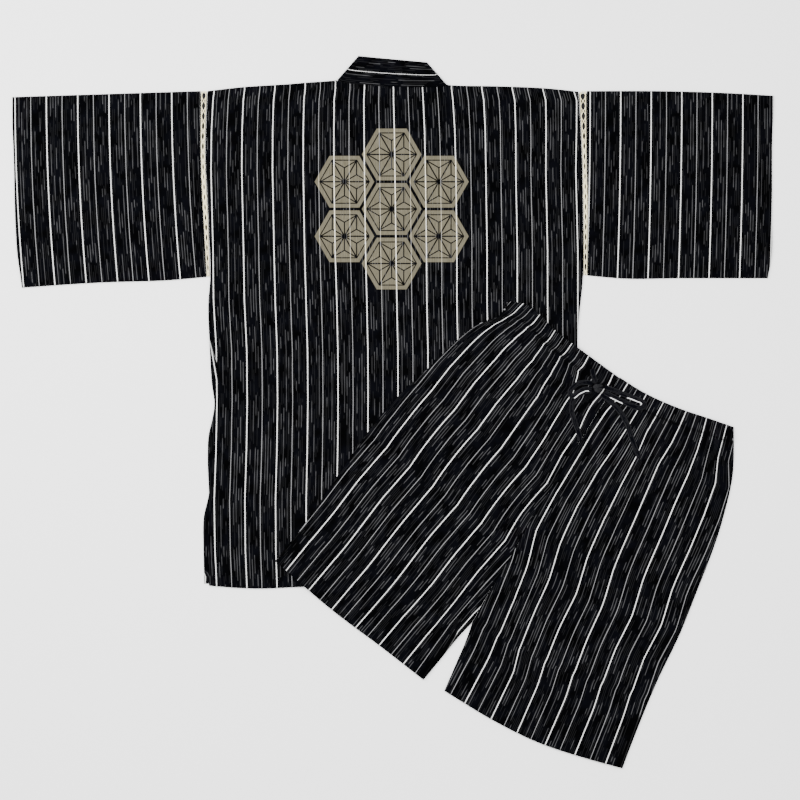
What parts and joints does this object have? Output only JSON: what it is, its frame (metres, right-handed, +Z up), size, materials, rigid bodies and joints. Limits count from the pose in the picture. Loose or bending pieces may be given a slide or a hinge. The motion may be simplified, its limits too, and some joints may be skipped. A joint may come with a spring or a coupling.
{
  "type": "jinbei jacket and shorts set, laid flat",
  "caption": "Striped cotton jinbei jacket lying back up, with its elastic-waist drawstring shorts lying front up across its lower right.",
  "frame": {"origin": "on the table, under the middle of the whole set", "axes": "+X towards the picture's right (the jacket's right sleeve), +Y towards the collar, +Z up from the table"},
  "size_m": [1.1421, 1.0685, 0.0208],
  "materials": {
    "striped_cotton": "matt slub-woven cotton, near-black with white and grey stripes",
    "openwork_tape": "cream cotton ladder tape",
    "tie_cloth": "the same cotton, folded and stitched into a flat tie"
  },
  "bodies": {
    "root": {"back": "striped_cotton", "front_left": "striped_cotton", "front_right": "striped_cotton", "collar": "striped_cotton", "sleeve_left": "striped_cotton", "sleeve_right": "striped_cotton", "armhole_tape_left": "openwork_tape", "armhole_tape_right": "openwork_tape", "tie_front": "tie_cloth", "tie_side": "tie_cloth", "leg_left": "striped_cotton", "leg_right": "striped_cotton", "drawstring_knot": "tie_cloth", "drawstring_loop_left": "tie_cloth", "drawstring_loop_right": "tie_cloth", "drawstring_tail_left": "tie_cloth", "drawstring_tail_right": "tie_cloth"}
  },
  "joints": []
}
